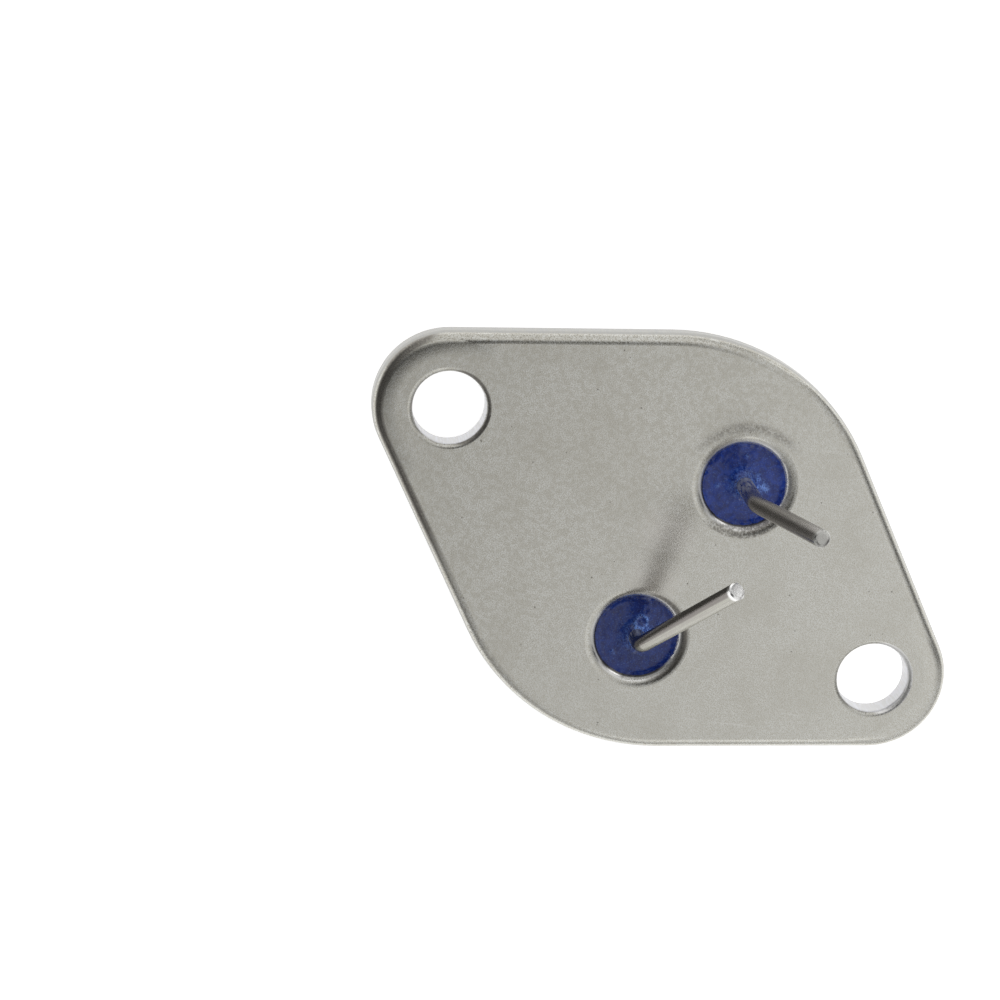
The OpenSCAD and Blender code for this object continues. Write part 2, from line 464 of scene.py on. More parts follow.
@dataclass(frozen=True)
class SatinNickel:
    """Satin nickel on stamped steel, as on the seating face and its sheared edges.

    The node tree and the marks that several colours share are each made once.

    Attributes:
        holes: Where the axes of the fixing holes stand.
        mouths: Where the axes of the seals stand.
        painted_light_facing: Direction that edges face where they carry painted shade, and a
            painted highlight on the second hole's rim.
        glow_places: Middles of two places lightened with painted light, from the second seal.
        dark_crescent: The dark grainy crescent on the first seal's mouth.
        halo: A dark grainy arc beside the first seal.
        gap_shade: Painted shade of the recessed wall in the thin gap between steel and glass.
        back: Height below which the plate's other face begins.
    """

    name: str
    holes: tuple[Vector, ...]
    mouths: tuple[Vector, ...]
    colour: Colour = (0.68, 0.68, 0.645)
    tarnish: Colour = (0.48, 0.46, 0.40)
    pit: Colour = (0.14, 0.125, 0.11)
    sheared: Colour = (0.40, 0.40, 0.39)
    clean: Colour = (0.54, 0.54, 0.53)
    burnished_highlight: Colour = (0.66, 0.665, 0.70)
    highlight_tone: Colour = (0.86, 0.855, 0.84)
    spark: Colour = (0.90, 0.89, 0.85)
    glow_tone: Colour = (0.82, 0.79, 0.745)
    scratched: Colour = (0.86, 0.86, 0.84)
    painted_light_facing: Vector = field(default_factory=lambda: Vector((-0.829, -0.559, 0)))
    glow_places: tuple[Vector, ...] = field(default_factory=lambda: (
        Vector((-1.3, 3.4, 0)) * MM, Vector((-2.15, 6.1, 0)) * MM))
    roughness: float = 0.24
    dark_crescent: Arc = Arc(308, (1.5 * MM, 2.3 * MM), (3.08 * MM, 3.22 * MM))
    halo: Arc = Arc(122, (1.6 * MM, 2.9 * MM), (3.50 * MM, 3.95 * MM), (3.05 * MM, 3.42 * MM))
    gap_shade: Arc = Arc(265, (-0.4 * MM, 1.0 * MM), (2.50 * MM, 2.55 * MM))
    grain_size: float = 0.075 * MM
    mottle_size: float = 0.30 * MM
    cloud_size: float = 4.0 * MM
    fleck_size: float = 0.13 * MM
    streak_size: float = 0.09 * MM
    worn_side: float = 165.0
    hole_edge: tuple[float, float] = (2.2 * MM, 2.5 * MM)
    mouth_edge: tuple[float, float] = (3.05 * MM, 3.3 * MM)
    back: float = -1.2 * MM

    def material(self) -> bpy.types.Material:
        """Builds the finish.

        Returns:
            The material.
        """
        f = self.tree
        colour = self.underside(self.light_and_specks(self.plating()))
        # This dark colour paints the pits and marks, and also painted shade on some edges and
        # gaps.
        colour = f.blend(self.stains_and_shade(), colour, self.pit)
        colour = f.blend(f.both(f.scratches(24, 1 * MM), 0.22), colour, self.scratched)
        colour = f.blend(self.wall, colour, self.sides())
        f.set(Base_Color=colour, Metallic=1.0, Roughness=self.coarseness(),
              Normal=self.skin())
        return f.material

    @cached_property
    def tree(self) -> Finish:
        """The node tree that the finish is built in."""
        return Finish(self.name)

    @cached_property
    def grain(self) -> Socket:
        """The fine grain of the plating."""
        return self.tree.noise(self.grain_size, 2)

    @cached_property
    def mottle(self) -> Socket:
        """The larger mottling of the plating."""
        return self.tree.noise(self.mottle_size, 2, shift=5 * MM)

    @cached_property
    def flecks(self) -> Socket:
        """The flecks of the rough places."""
        return self.tree.noise(self.fleck_size, 1, shift=9 * MM)

    @cached_property
    def level(self) -> Socket:
        """How level the surface is, from 0 on a wall to 1 on a face."""
        return self.tree.math("ABSOLUTE", self.tree.normal("Z"))

    @cached_property
    def wall(self) -> Socket:
        """The sheared walls of the plate and its holes."""
        return self.tree.span(self.level, 0.60, 0.40)

    @cached_property
    def behind(self) -> Socket:
        """The plate's other face, on the cap's side."""
        f = self.tree
        return f.both(f.span(f.axis("Z"), self.back, self.back - 0.1 * MM),
                      f.span(f.normal("Z"), -0.5, -0.8))

    @cached_property
    def hole(self) -> Socket:
        """The walls and rims of the fixing holes."""
        return self.tree.beside(self.holes, *self.hole_edge)

    @cached_property
    def mouth(self) -> Socket:
        """The rolled mouths that the seals sit in."""
        f = self.tree
        return f.both(f.beside(self.mouths, *self.mouth_edge), f.span(self.level, 0.93, 0.84))

    @cached_property
    def weathered(self) -> Socket:
        """The half of the plate that is more tarnished."""
        return self.tree.span(self.tree.toward(Vector(), self.worn_side), -6 * MM, 6 * MM)

    def plating(self) -> Socket:
        """Gives the colour of the untouched plating, cloudy and grainy.

        Returns:
            The colour.
        """
        f = self.tree
        clouds = f.noise(self.cloud_size, 2, warp=0.6)
        colour = f.blend(f.span(clouds, 0.42, 0.72, 0.0, 0.30), self.colour, self.tarnish)
        colour = f.blend(f.span(self.grain, 0.38, 0.60, 0.85, 0.0), colour, self.tarnish)
        share = f.math("ADD", 0.45, f.both(self.weathered, 0.55))
        spotty = f.both(f.span(self.mottle, 0.36, 0.60, 0.50, 0.0), share)
        return f.blend(spotty, colour, self.tarnish)

    def light_and_specks(self, colour: Socket) -> Socket:
        """Adds painted highlights on the mouths and a hole's rim, painted light, and bright
        specks.

        Args:
            colour: The colour of the plating.

        Returns:
            The colour with its bright places.
        """
        f = self.tree
        # Painted highlight: the seals' rounded mouths are painted lighter.
        colour = f.blend(f.both(self.mouth, 0.9), colour, self.highlight_tone)
        # Painted light: two places near the seals are lightened, against the pins' dark reflected
        # streak.
        painted_glow = f.either(*(f.near(self.mouths[1] + place, 0.3 * MM, 2.4 * MM)
                             for place in self.glow_places))
        colour = f.blend(f.both(painted_glow, 0.42), colour, self.glow_tone)
        # Painted highlight on the second hole's rim, where it faces one side.
        rim_highlight = f.both(f.span(f.facing(self.painted_light_facing), 0.02, 0.14),
                        f.beside(self.holes[1:], 2.50 * MM, 2.60 * MM))
        colour = f.blend(rim_highlight, colour, self.highlight_tone)
        specks = f.span(f.noise(0.055 * MM, 1, shift=11 * MM), 0.66, 0.76, 0.0, 0.8)
        return f.blend(specks, colour, self.spark)

    def underside(self, colour: Socket) -> Socket:
        """Gives the cap's side of the plate its coarser, sparkling plating.

        Args:
            colour: The colour of the other faces.

        Returns:
            The colour with that side changed.
        """
        f = self.tree
        dull = f.both(self.behind, f.span(self.mottle, 0.44, 0.60, 0.55, 0.0))
        colour = f.blend(dull, colour, self.tarnish)
        bright = f.both(self.behind, f.span(self.flecks, 0.54, 0.66, 0.0, 0.85))
        return f.blend(bright, colour, self.spark)

    def stains_and_shade(self) -> Socket:
        """Gathers the dark marks on the faces.

        They are pits, a dark grainy arc beside the first seal, painted shade on edges that face
        -X and on edges that face one other side, painted shade in the thin gap between steel
        and glass, and a dark grainy crescent on the first seal's lower mouth.

        Returns:
            How dark each place is, from 0 to 1.
        """
        f = self.tree
        # A dark grainy arc beside the first seal.
        dark_arc = f.both(self.halo.draw(f, self.mouths[0]),
                          f.span(self.flecks, 0.66, 0.36, 0.3, 1.0))
        # Painted shade on faces turned towards -X, broken up by the grain.
        rolled = f.both(f.span(f.normal("X"), -0.04, -0.16),
                        f.span(self.grain, 0.44, 0.34))
        # A dark grainy crescent on the first seal's mouth.
        dark_crescent_mark = f.both(self.dark_crescent.draw(f, self.mouths[0]),
                         f.span(self.flecks, 0.62, 0.40, 0.15, 0.95))
        # Painted shade: a thin dark line where the glass meets the steel, on one side of each
        # seal.
        gap_shades = f.either(*(self.gap_shade.draw(f, line) for line in self.mouths))
        return f.either(f.both(f.specks(0.55 * MM, 0.065 * MM, 0.45), 0.7),
                        f.both(dark_arc, 0.52), f.both(rolled, 0.40), self.painted_shade(),
                        f.both(gap_shades, 0.9), f.both(dark_crescent_mark, 0.62))

    def sides(self) -> Socket:
        """Gives the colour of the sheared walls, with their upright streaks.

        Returns:
            The colour.
        """
        f = self.tree
        streaks = f.noise(self.streak_size, 2, stretch=Vector((1, 1, 14)), shift=2 * MM)
        side = f.blend(self.weathered, self.clean, self.sheared)
        # The hole walls are lighter and tinted lavender: partly a burnished tone, partly a
        # painted highlight.
        side = f.blend(self.hole, side, self.burnished_highlight)
        return f.blend(f.span(streaks, 0.40, 0.66, 0.32, 0.0), side, self.tarnish)

    def coarseness(self) -> Socket:
        """Gives the roughness: more on walls and the cap's side, less in the mouths.

        Returns:
            The roughness.
        """
        f = self.tree
        rough = f.span(self.grain, 0.25, 0.75, self.roughness - 0.03, self.roughness + 0.05)
        for mark, more in ((self.wall, 0.06), (self.behind, 0.14),
                           (self.hole, 0.06), (self.mouth, -0.06)):
            rough = f.math("ADD", rough, f.both(mark, more))
        return rough

    def skin(self) -> Socket:
        """Gives the surface its fine grain, and pocks where the plating is coarse.

        Returns:
            The normals.
        """
        f = self.tree
        fine = f.relief(self.grain, 0.0045 * MM, under=self.droop())
        pocks = f.relief(f.noise(0.30 * MM, 2, shift=3 * MM), 0.014 * MM, under=fine)
        mix = f.add("ShaderNodeMix", data_type="VECTOR")
        f.feed(mix.inputs[0], f.either(self.behind, f.both(self.mouth, 0.45)))
        f.feed(mix.inputs[4], fine)
        f.feed(mix.inputs[5], pocks)
        return mix.outputs[1]

    def droop(self) -> Socket:
        """Rolls the face down gently towards the rim of each ear.

        Returns:
            The normals.
        """
        f = self.tree
        near = f.math("MINIMUM", *(f.from_axis(line) for line in self.holes))
        out = f.both(f.math("SUBTRACT", near, 2.95 * MM), 1 / (0.9 * MM))
        out = f.math("MINIMUM", f.math("MAXIMUM", out, 0.0), 1.15)
        beyond = f.span(f.math("ABSOLUTE", f.axis("X")), 14.6 * MM, 17.6 * MM)
        return f.relief(f.math("SUBTRACT", 1.4, f.both(out, out, beyond)), 0.072 * MM)

    def painted_shade(self) -> Socket:
        """Marks painted shade on edges that face one side, where the left ear rolls over and on
        one side of the second seal's mouth.

        Returns:
            The mark, from 0 to 1.
        """
        f = self.tree
        lean = f.facing(self.painted_light_facing)
        rolled = f.both(f.span(lean, 0.05, 0.20), f.span(lean, 0.76, 0.60, 0.0, 0.72))
        ear = f.span(f.axis("X"), -9 * MM, -13 * MM)
        away = f.from_axis(self.mouths[1])
        mouth = f.both(f.span(away, 2.56 * MM, 2.70 * MM), f.span(away, 3.05 * MM, 2.85 * MM))
        # This noise only makes the painted shade uneven.
        worn = f.span(f.noise(self.grain_size, 3), 0.30, 0.62, 0.55, 1.15)
        return f.both(rolled, worn, f.either(ear, mouth))


@dataclass(frozen=True)
class DrawnCap:
    """Nickel on the drawn cap: warm and lined round its side, cool and matt on its top."""

    name: str
    top: Vector
    side: Colour = (0.42, 0.41, 0.385)
    crown: Colour = (0.80, 0.81, 0.83)
    shade: Colour = (0.29, 0.29, 0.285)
    pit: Colour = (0.16, 0.155, 0.15)
    worn: Colour = (0.60, 0.60, 0.59)
    roughness: float = 0.22
    matt: float = 0.16
    grain_size: float = 0.085 * MM
    line_size: float = 0.10 * MM
    cloud_size: float = 2.2 * MM

    def material(self) -> bpy.types.Material:
        """Builds the finish.

        Returns:
            The material.
        """
        f = Finish(self.name)
        level = f.axis("Z")
        crown = f.both(f.span(f.normal("Z"), -0.93, -0.99),
                       f.span(level, self.top.z + 1.0 * MM, self.top.z + 0.3 * MM))
        rim = f.both(f.span(level, self.top.z + 1.4 * MM, self.top.z + 0.5 * MM),
                     f.math("SUBTRACT", 1.0, crown))
        grain = f.noise(self.grain_size, 2)
        lines = f.noise(self.line_size, 2, Vector((40, 40, 1)), shift=6 * MM)
        clouds = f.noise(self.cloud_size, 3, warp=0.8)
        colour = f.blend(f.span(lines, 0.36, 0.62, 0.45, 0.0), self.side, self.shade)
        colour = f.blend(f.both(rim, f.span(clouds, 0.35, 0.55)), colour, self.worn)
        colour = f.blend(crown, colour, self.crown)
        colour = f.blend(f.span(grain, 0.38, 0.60, 0.40, 0.0), colour, self.shade)
        colour = f.blend(f.span(clouds, 0.50, 0.75, 0.0, 0.10), colour, self.shade)
        colour = f.blend(f.both(f.specks(0.42 * MM, 0.06 * MM, 0.5), 0.6), colour, self.pit)
        scratch = f.either(f.scratches(70, 3 * MM), f.scratches(-15, 11 * MM))
        colour = f.blend(f.both(scratch, 0.35), colour, self.worn)
        rough = f.math("ADD", f.span(grain, 0.25, 0.75, self.roughness - 0.03,
                                     self.roughness + 0.05), f.both(crown, self.matt))
        normal = f.relief(f.noise(0.45 * MM, 2, shift=7 * MM), 0.010 * MM,
                          under=f.relief(grain, 0.0045 * MM))
        f.set(Base_Color=colour, Metallic=1.0, Roughness=rough, Normal=normal)
        return f.material


@dataclass(frozen=True)
class SealGlass:
    """Deep blue fused glass, cloudy with fine bubbles, with painted glints where it is marked."""

    name: str
    colour: Colour = (0.003, 0.017, 0.15)
    cloudy: Colour = (0.008, 0.040, 0.27)
    bubble: Colour = (0.10, 0.19, 0.50)
    deep: Colour = (0.002, 0.008, 0.05)
    painted_glint: Colour = (0.20, 0.38, 0.95)
    roughness: float = 0.14
    index: float = 1.52

    def material(self) -> bpy.types.Material:
        """Builds the finish.

        Returns:
            The material.
        """
        f = Finish(self.name)
        swirl = f.noise(0.55 * MM, 3, warp=1.2)
        grain = f.noise(0.085 * MM, 2)
        colour = f.blend(f.span(swirl, 0.36, 0.66), self.colour, self.cloudy)
        colour = f.blend(f.span(grain, 0.56, 0.72, 0.0, 0.5), colour, self.bubble)
        colour = f.blend(f.span(grain, 0.44, 0.30, 0.0, 0.5), colour, self.deep)
        # Painted glints: lighter blue where the blisters and the glass round the pin are marked.
        painted_glint = f.both(f.mark("painted_glint"), f.span(grain, 0.36, 0.58))
        colour = f.blend(f.both(painted_glint, 0.9), colour, self.painted_glint)
        f.set(Base_Color=colour, Roughness=self.roughness, IOR=self.index,
              Normal=f.relief(swirl, 0.004 * MM, under=f.relief(grain, 0.004 * MM)))
        return f.material


@dataclass(frozen=True)
class PlatedWire:
    """Plating on a drawn wire: fine lines along it, a frosted foot and a sheared end.

    Attributes:
        along: Direction of the wire above its bend.
        tip: Middle of the sheared end.
        fresh: How much of the end's own colour shows in its darkest grain.
        foot: Height up to which the wire is frosted.
        shaded_flank: Direction that the flank with painted shade faces.
        reach: How far a surface faces that way where the painted shade begins and is whole.
        flank_shade: How strong the painted shade is.
        nick: Side of the sheared end that is nicked, turned from +X in degrees.
        nick_depth: How dark the nick is.
        rolled_end: Height of the roundness at the end's rim.
    """

    name: str
    along: Vector
    tip: Vector
    colour: Colour = (0.60, 0.58, 0.53)
    dull: Colour = (0.345, 0.318, 0.308)
    end: Colour = (0.62, 0.62, 0.60)
    fresh: float = 0.5
    frosted: Colour = (0.50, 0.53, 0.62)
    foot: float = 1.5 * MM
    dark: Colour = (0.10, 0.09, 0.09)
    shade_tone: Colour = (0.19, 0.17, 0.165)
    shaded_flank: Vector = field(default_factory=lambda: Vector((0.0, 0.0, 1.0)))
    reach: tuple[float, float] = (-0.06, 0.12)
    flank_shade: float = 0.0
    nick: float = -5.0
    nick_depth: float = 0.8
    rolled_end: float = 0.05 * MM
    roughness: float = 0.24

    def material(self) -> bpy.types.Material:
        """Builds the finish.

        Returns:
            The material.
        """
        f = Finish(self.name)
        lines = f.wire_lines(self.along, 0.06 * MM, 30.0)
        grain = f.noise(0.07 * MM, 2)
        smears = f.noise(0.20 * MM, 2, Vector((1, 1, 4)), shift=4 * MM)
        foot = f.both(f.span(f.axis("Z"), self.foot, 0.4 * MM),
                      f.span(smears, 0.38, 0.60, 0.10, 1.0),
                      f.span(grain, 0.34, 0.56, 0.3, 1.0))
        end = f.near(self.tip, 0.50 * MM, 0.60 * MM)
        burr = f.near(self.tip, 0.28 * MM, 0.50 * MM)
        colour = f.blend(f.span(lines, 0.38, 0.68, 0.45, 0.0), self.colour, self.dull)
        colour = f.blend(f.span(grain, 0.34, 0.60, 0.35, 0.0), colour, self.dull)
        # Painted shade: the flank facing one direction is darkened, standing in for its dark
        # reflection.
        flank_shade = f.span(f.facing(self.shaded_flank), *self.reach, 0.0, self.flank_shade)
        colour = f.blend(flank_shade, colour, self.shade_tone)
        colour = f.blend(f.both(foot, 0.8), colour, self.frosted)
        colour = f.blend(f.both(end, f.span(grain, 0.34, 0.60, self.fresh, 1.0)),
                         colour, self.end)
        nick = f.span(f.toward(self.tip, self.nick), 0.22 * MM, 0.42 * MM,
                      0.0, self.nick_depth)
        colour = f.blend(f.both(end, nick), colour, self.dark)
        rough = f.math("ADD", self.roughness, f.both(foot, 0.25))
        normal = f.relief(lines, 0.004 * MM, under=f.relief(grain, 0.005 * MM))
        normal = f.relief(burr, self.rolled_end, under=normal, way=Bend.SUNK)
        plating = f.math("SUBTRACT", 1.0, f.both(foot, 0.65))
        f.set(Base_Color=colour, Metallic=plating, Roughness=rough, Normal=normal)
        return f.material


@dataclass(frozen=True)
class PlainMetal:
    """A plain metal with fine grain, for the pieces inside the can."""

    name: str
    colour: Colour
    roughness: float

    def material(self) -> bpy.types.Material:
        """Builds the finish.

        Returns:
            The material.
        """
        f = Finish(self.name)
        grain = f.noise(0.08 * MM, 3)
        dark = tuple(c * 0.7 for c in self.colour)
        f.set(Base_Color=f.blend(f.span(grain, 0.3, 0.7, 0.2, 0.0), self.colour, dark),
              Metallic=1.0, Roughness=self.roughness,
              Normal=f.relief(grain, 0.002 * MM))
        return f.material


@dataclass(frozen=True)
class Blister:
    """A raised dome or a burst ring in a glass surface.

    Attributes:
        out: Distance of its middle from the seal's axis.
        azimuth: Side of the axis that it lies on, turned from +X in degrees.
        radius: Radius of the dome or the ring.
        height: Height above the glass.
        burst: Whether only a ring is left.
        painted_glint: How much painted glint it carries.
        wall: Thickness of the ring, as a share of its radius.
        taper: Power that shapes the dome. A larger one makes it more pointed.
    """

    out: float
    azimuth: float
    radius: float
    height: float
    burst: bool = False
    painted_glint: float = 0.4
    wall: float = 0.28
    taper: float = 1.5

    def lift(self, x: float, y: float) -> float:
        """Works out how far the blister lifts the glass at one place.

        Args:
            x: Place beside the seal's axis.
            y: Place beside the seal's axis.

        Returns:
            The lift, from 0 to 1 of the blister's height.
        """
        a = math.radians(self.azimuth)
        away = math.hypot(x - self.out * math.cos(a), y - self.out * math.sin(a)) / self.radius
        if self.burst:
            return math.exp(-((away - 1.0) / self.wall) ** 2)
        return max(0.0, 1.0 - away * away) ** self.taper


@dataclass
class GlassSeal:
    """One glass seal: a fused bead that wets the steel and climbs its pin.

    Heights are measured from the seating face, and each name that ends in _w is the
    distance over which something fades.

    Attributes:
        centre: Where the seal's axis meets the seating face.
        level: Height of the still glass.
        lip_rise: Rise of the glass at the steel's lip.
        climb: Rise of the glass at the pin.
        flare: Height at which the bore begins to open.
        skin: Height above which the points belong to the skin.
        overlap: How far the glass runs into the pin.
        wave: Width and height of the broad unevenness.
        lump: Width and height of the fine unevenness, stronger at the pin.
        ragged: Width and height of the unevenness at the lip.
        patchy: Width of the patches of painted glint.
    """

    node: str
    finish: str
    blisters: tuple[Blister, ...]
    centre: Vector
    pin_r: float = 0.5 * MM
    hole_r: float = 2.3 * MM
    lip_r: float = 2.46 * MM
    level: float = -0.44 * MM
    lip_rise: float = 0.08 * MM
    lip_w: float = 0.2 * MM
    climb: float = 0.36 * MM
    climb_w: float = 0.24 * MM
    flare: float = -0.9 * MM
    skin: float = -0.8 * MM
    underside: float = -1.45 * MM
    overlap: float = 0.02 * MM
    wave: tuple[float, float] = (0.62 * MM, 0.013 * MM)
    lump: tuple[float, float] = (0.20 * MM, 0.020 * MM)
    ragged: tuple[float, float] = (0.33 * MM, 0.06 * MM)
    patchy: float = 0.24 * MM
    pin_fade_w: float = 0.30 * MM
    ragged_w: float = 0.16 * MM
    rings: int = 44
    steps: int = 144

    def surface(self, r: float) -> float:
        """Works out the height of the still glass at one radius."""
        lip = self.lip_rise * math.exp(-((self.lip_r - r) / self.lip_w) ** 2)
        return self.level + lip + self.climb * math.exp(-(r - self.pin_r) / self.climb_w)

    def build(self, materials: dict[str, bpy.types.Material]) -> bpy.types.Object:
        """Turns the seal on its axis and lets its skin wrinkle and blister.

        Args:
            materials: The finished materials by name.

        Returns:
            The seal.
        """
        bm = bmesh.new()
        inner = self.pin_r - self.overlap
        rows = [inner + (self.lip_r - inner) * i / self.rings for i in range(self.rings + 1)]
        section = [(inner, self.underside)] + [(r, self.surface(max(r, self.pin_r)))
                                               for r in rows]
        section += [(self.hole_r, self.flare), (self.hole_r, self.underside)]
        points = [bm.verts.new((r, 0, z)) for r, z in section]
        edges = [bm.edges.new((a, b)) for a, b in zip(points, points[1:] + points[:1])]
        bmesh.ops.spin(bm, geom=points + edges, axis=(0, 0, 1), cent=(0, 0, 0),
                       angle=math.tau, steps=self.steps, use_merge=True)
        bmesh.ops.remove_doubles(bm, verts=bm.verts, dist=0.001 * MM)
        painted_glint = bm.verts.layers.float.new("painted_glint")
        for v in bm.verts:
            if v.co.z > self.skin:
                self.wrinkle(v, painted_glint)
        bmesh.ops.recalc_face_normals(bm, faces=bm.faces)
        bmesh.ops.translate(bm, verts=bm.verts, vec=self.centre)
        for face in bm.faces:
            face.smooth = True
        seal = put(f"{self.node}_glass", bm)
        seal.data.materials.append(materials[self.finish])
        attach(seal, "root")
        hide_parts(self.node)
        log.info("%s: %d faces", seal.name, len(seal.data.polygons))
        return seal

    def wander(self, place: Vector, width: float) -> float:
        """Gives smooth noise at one place, from -1 to 1, different on each seal."""
        return noise.noise((place + self.centre * 1.7) / width)

    def wrinkle(self, v: bmesh.types.BMVert, painted_glint: object) -> None:
        """Moves one point of the glass skin up or down and notes where it carries painted glints.

        Args:
            v: The point.
            painted_glint: The layer that carries the painted glints.
        """
        r = math.hypot(v.co.x, v.co.y)
        near_pin = math.exp(-(r - self.pin_r) / self.pin_fade_w)
        near_lip = math.exp(-((self.lip_r - r) / self.ragged_w) ** 2)
        rise = sum(self.wander(v.co, width) * height * share
                   for (width, height), share in ((self.wave, 1.0), (self.lump, 0.4 + near_pin),
                                                  (self.ragged, near_lip)))
        rise += sum(b.lift(v.co.x, v.co.y) * b.height for b in self.blisters)
        patchy = 0.8 + 1.1 * self.wander(v.co, self.patchy)
        # Painted glint: marks the points that the glass material paints lighter blue.
        v[painted_glint] = min(1.0, max(0.0, patchy) * (0.55 * near_pin + sum(
            b.lift(v.co.x, v.co.y) * b.painted_glint for b in self.blisters)))
        v.co.z += rise


@dataclass(frozen=True)
class Patch:
    """One soft round patch of the room, lighter or darker than the rest.

    Attributes:
        azimuth: Where its middle lies, turned from +X in degrees.
        elevation: How high its middle lies, in degrees.
        inner: Angle from its middle up to which it is whole.
        outer: Angle from its middle at which it has faded.
        level: What it adds to the room's level.
    """

    azimuth: float
    elevation: float
    inner: float
    outer: float
    level: float


@dataclass(frozen=True)
class Zone:
    """Part of a belt round the room, lighter or darker than the rest.

    Attributes:
        azimuth: Where its middle lies, turned from +X in degrees.
        wide: Angle from its middle to each end, on the horizon.
        low: Elevation of its lower edge, in degrees.
        high: Elevation of its upper edge, in degrees.
        soft: How softly those edges fade, as a height in a room of radius 1.
        level: What it adds to the room's level.
        side_soft: How softly its two ends fade.
    """

    azimuth: float
    wide: float
    low: float
    high: float
    soft: float
    level: float
    side_soft: float = 0.16


class Room(Nodes):
    """The room's light, as a node tree on the direction looked in."""

    def __init__(self, world: bpy.types.World) -> None:
        """Starts with an empty background.

        Args:
            world: The world to light.
        """
        super().__init__(world)
        self.looked = self.add("ShaderNodeTexCoord").outputs["Generated"]

    def patch(self, patch: Patch) -> Socket:
        """Makes one soft round patch.

        Args:
            patch: Place, size and level.

        Returns:
            What the patch adds.
        """
        a, e = math.radians(patch.azimuth), math.radians(patch.elevation)
        centre = Vector((math.cos(a) * math.cos(e), math.sin(a) * math.cos(e), math.sin(e)))
        return self.span(self.along(self.looked, centre), math.cos(math.radians(patch.outer)),
                         math.cos(math.radians(patch.inner)), 0.0, patch.level)

    def zone(self, zone: Zone) -> Socket:
        """Makes part of a belt.

        Args:
            zone: Place, size and level.

        Returns:
            What the zone adds.
        """
        a = math.radians(zone.azimuth)
        low, high = (math.sin(math.radians(e)) for e in (zone.low, zone.high))
        middle, half = (low + high) / 2, (high - low) / 2
        height = self.along(self.looked, Vector((0, 0, 1)))
        away = self.math("ABSOLUTE", self.math("SUBTRACT", height, middle))
        belt = self.span(away, half + zone.soft, half - zone.soft, 0.0, zone.level)
        edge = math.cos(math.radians(zone.wide))
        facing = self.along(self.looked, Vector((math.cos(a), math.sin(a), 0)))
        return self.both(belt, self.span(facing, edge - zone.side_soft, edge + zone.side_soft))

    def show(self, level: Socket, backdrop: float) -> None:
        """Lights the scene with a level, while the camera sees a plain backdrop.

        Args:
            level: The light that reaches the part.
            backdrop: What the camera sees behind it.
        """
        pick = self.add("ShaderNodeMix")
        self.feed(pick.inputs[0], self.add("ShaderNodeLightPath").outputs["Is Camera Ray"])
        self.feed(pick.inputs[2], level)
        self.feed(pick.inputs[3], backdrop)
        background = self.tree.nodes["Background"]
        background.inputs["Color"].default_value = (1, 1, 1, 1)
        self.feed(background.inputs["Strength"], pick.outputs[0])


@dataclass
class Studio:
    """Camera, floor and light."""

    aim: Vector = field(default_factory=lambda: Vector((-9.641, -2.911, 0.0)) * MM)
    distance: float = 154.709 * MM
    azimuth: float = 140.329
    elevation: float = 73.510
    roll: float = 163.205
    lens: float = 97.378
    sensor: float = 36.0
    clip: tuple[float, float] = (0.01, 10.0)
    floor_side: float = 1.6
    floor_gap: float = 0.01 * MM
    floor_tone: float = 0.8
    floor_glow: float = 0.74
    backdrop: float = 0.92
    darkest: float = 0.04

    def camera(self) -> None:
        """Sets the camera over the seating face and makes it the scene's own."""
        data = bpy.data.cameras.new("camera")
        data.lens = self.lens
        data.sensor_width = self.sensor
        data.clip_start, data.clip_end = self.clip
        camera = put("camera", data)
        pose = (Matrix.Translation(self.aim)
                @ Matrix.Rotation(math.radians(self.azimuth), 4, "Z")
                @ Matrix.Rotation(math.radians(90 - self.elevation), 4, "Y")
                @ Matrix.Rotation(math.radians(90 + self.roll), 4, "Z")
                @ Matrix.Translation((0, 0, self.distance)))
        camera.matrix_world = pose
        bpy.context.scene.camera = camera

    def floor(self) -> None:
        """Lays a pale floor under the part. It glows a little, as a lit table does."""
        bm = bmesh.new()
        bmesh.ops.create_grid(bm, x_segments=1, y_segments=1, size=self.floor_side / 2)
        bmesh.ops.translate(bm, verts=bm.verts, vec=(0, 0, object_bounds()[0].z - self.floor_gap))
        floor = put("floor", bm)
        finish = Finish("pale_floor")
        finish.set(Base_Color=(*(self.floor_tone,) * 3, 1), Roughness=0.9,
                   Emission_Color=(1, 1, 1, 1), Emission_Strength=self.floor_glow)
        floor.data.materials.append(finish.material)
        floor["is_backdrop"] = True

    def light(self) -> None:
        """Surrounds the part with a soft room, and shows the camera a plain pale wall."""
        world = bpy.data.worlds.new("studio")
        bpy.context.scene.world = world
        room = Room(world)
        level = ROOM_LEVEL
        for patch in LIGHT_PATCHES:
            level = room.math("ADD", level, room.patch(patch))
        for zone in LIGHT_ZONES:
            level = room.math("ADD", level, room.zone(zone))
        room.show(room.math("MAXIMUM", level, self.darkest), self.backdrop)

    def build(self) -> None:
        """Makes the camera, the floor and the light, and sets how tones are shown."""
        self.camera()
        self.floor()
        self.light()
        bpy.context.scene.view_settings.view_transform = "Standard"
        log.info("studio: camera, floor and %d patches of light", len(LIGHT_PATCHES))


def middle_of(*names: str) -> Iterator[Vector]:
    """Finds the middle of each named piece, on the seating face.

    Args:
        names: The pieces' names.

    Yields:
        The middle of each piece's box, at the height of the seating face.
    """
    for name in names:
        low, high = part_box(name)
        yield Vector(((low.x + high.x) / 2, (low.y + high.y) / 2, 0))


def tip_of(name: str, along: Vector) -> Vector:
    """Finds the middle of a leaning pin's sheared end from the pin's box.

    Args:
        name: The pin's name.
        along: The direction that the pin points in.

    Returns:
        The middle of its end.
    """
    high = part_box(name)[1]
    return Vector([edge - PIN_RADIUS * math.sqrt(1 - part * part)
                   for edge, part in zip(high, along)])


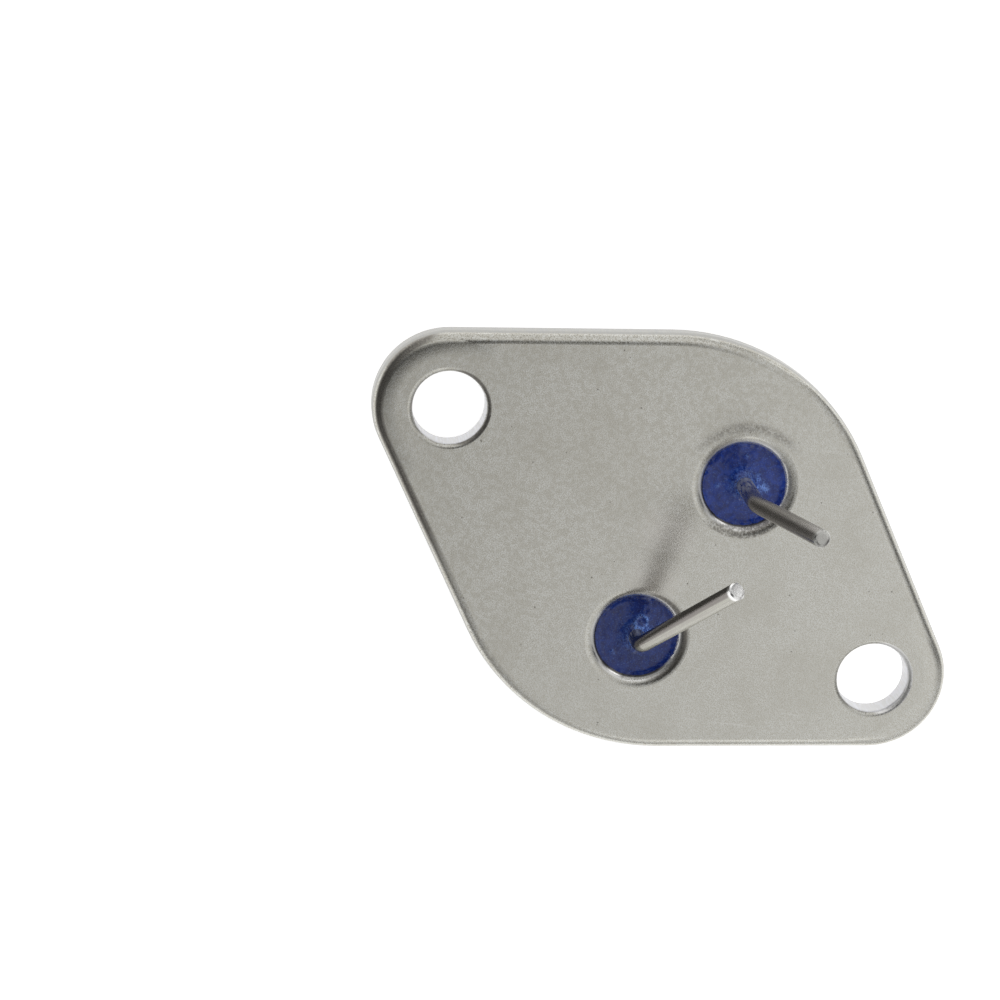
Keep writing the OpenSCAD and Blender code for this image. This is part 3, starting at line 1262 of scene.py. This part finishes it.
# The room: its even level, and the parts of it that are lighter or darker.
ROOM_LEVEL = 0.455
LIGHT_PATCHES = (
    Patch(-25, 40, 10, 45, 0.35),
    Patch(-43, 43, 2, 9, 0.8),
    Patch(18, 70, 3, 24, 0.26),
    Patch(112, 82, 6, 17, -0.45),
    Patch(33, 24, 4, 13, -0.38),
    Patch(57, 9, 3, 10, -0.40),
    Patch(75, 15, 4, 12, 1.00),
    Patch(200, 71, 8, 22, -0.38),
    Patch(123, 34, 14, 34, 0.42),
    Patch(75, 48, 10, 30, 0.26),
)
LIGHT_ZONES = (
    Zone(212, 54, 16, 62, 0.10, -0.33),
    Zone(195, 105, -20, 11, 0.06, 0.35),
)

# The places of the holes and seals come from the frame's boxes.
EAR_RADIUS = 4.4 * MM
PIN_RADIUS = 0.5 * MM
BASE_ALONG = Vector((0.22227, 0.1768, 0.95882))
EMITTER_ALONG = Vector((0.03536, 0.67466, 0.73728))
HOLES = tuple(Vector((side * (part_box("header_plate")[1].x - EAR_RADIUS), 0, 0))
              for side in (-1, 1))
MOUTHS = tuple(middle_of("base_seal", "emitter_seal"))

FINISHES = {
    "header_plate": SatinNickel("plate_nickel", HOLES, MOUTHS),
    "cap": DrawnCap("cap_nickel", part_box("cap")[0]),
    "base_pin": PlatedWire("base_pin_plating", BASE_ALONG,
                           tip_of("base_pin", BASE_ALONG), (0.625, 0.605, 0.585),
                           end=(0.56, 0.56, 0.53), foot=3.6 * MM, flank_shade=0.42,
                           shaded_flank=Vector((-0.009, -0.983, 0.184)), reach=(-0.2, 0.25)),
    "emitter_pin": PlatedWire("emitter_pin_plating", EMITTER_ALONG,
                              tip_of("emitter_pin", EMITTER_ALONG), (0.48, 0.48, 0.42),
                              end=(0.97, 0.97, 0.96), fresh=0.8, foot=1.3 * MM, nick_depth=0.3,
                              rolled_end=0.015 * MM, flank_shade=0.72,
                              shaded_flank=Vector((-0.900, 0.341, -0.268))),
    "heat_spreader": PlainMetal("copper", (0.72, 0.42, 0.28), 0.3),
    "spreader_braze": PlainMetal("braze", (0.78, 0.68, 0.45), 0.3),
    "silicon_die": PlainMetal("silicon", (0.25, 0.27, 0.32), 0.15),
    "die_solder": PlainMetal("solder", (0.55, 0.55, 0.57), 0.3),
    "base_bond_wire": PlainMetal("aluminium", (0.85, 0.85, 0.86), 0.25),
    "emitter_bond_wires": PlainMetal("aluminium_2", (0.85, 0.85, 0.86), 0.25),
}
GLASSES = (
    SealGlass("blue_glass", (0.002, 0.019, 0.19), (0.008, 0.045, 0.34)),
    SealGlass("deep_blue_glass", (0.002, 0.014, 0.14), (0.006, 0.032, 0.23)),
)
SEALS = (
    GlassSeal("base_seal", "blue_glass", (
        Blister(1.14 * MM, 21, 0.46 * MM, 0.055 * MM, painted_glint=1.0),
        Blister(0.78 * MM, 17, 0.15 * MM, 0.05 * MM, painted_glint=2.0),
        Blister(0.95 * MM, 60, 0.30 * MM, 0.03 * MM, painted_glint=0.7),
        Blister(1.55 * MM, 215, 0.22 * MM, 0.02 * MM),
        Blister(1.7 * MM, 120, 0.18 * MM, 0.015 * MM),
    ), MOUTHS[0]),
    GlassSeal("emitter_seal", "deep_blue_glass", (
        Blister(0.90 * MM, 106, 0.36 * MM, 0.05 * MM, burst=True, painted_glint=1.0),
        Blister(0.78 * MM, 60, 0.24 * MM, 0.03 * MM, painted_glint=0.8),
        Blister(1.5 * MM, 60, 0.20 * MM, 0.02 * MM),
        Blister(1.7 * MM, 250, 0.24 * MM, 0.02 * MM),
    ), MOUTHS[1]),
)


def main() -> None:
    """Builds the studio and dresses every piece."""
    logging.basicConfig(level=logging.INFO, format="%(name)s: %(message)s")
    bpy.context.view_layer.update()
    Studio().build()
    for name, finish in FINISHES.items():
        material = finish.material()
        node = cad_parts[name]
        for slot in node.material_slots:
            slot.material = material
        log.info("%s: %s", name, finish.name)
    glasses = {glass.name: glass.material() for glass in GLASSES}
    for seal in SEALS:
        seal.build(glasses)


if __name__ == "__main__":
    main()
